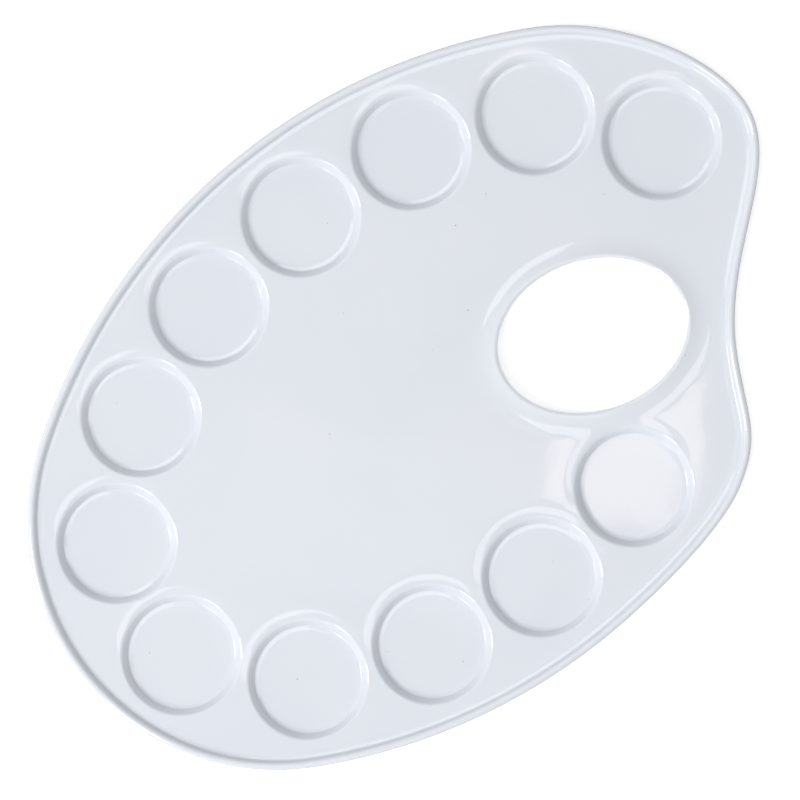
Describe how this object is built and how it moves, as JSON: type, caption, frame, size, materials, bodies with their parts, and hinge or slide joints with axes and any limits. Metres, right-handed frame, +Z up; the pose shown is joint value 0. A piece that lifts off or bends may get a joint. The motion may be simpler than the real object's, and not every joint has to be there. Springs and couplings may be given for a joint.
{
  "type": "mixing palette",
  "caption": "Oval white plastic mixing palette pressed from one sheet, with round recessed wells in a ring, a raised rim, a lipped thumb hole and a finger bite.",
  "frame": {"origin": "centre of the bounding box in plan, on the plane that the undersides of the wells stand on", "axes": "+X along the length towards the thumb end, +Y across it away from the finger bite, +Z up out of the wells"},
  "size_m": [0.305, 0.21, 0.0072],
  "materials": {
    "white_styrene": "semi-gloss cool white thermoformed sheet with a very fine orange peel"
  },
  "bodies": {
    "root": {"palette_tray": "white_styrene"}
  },
  "joints": []
}
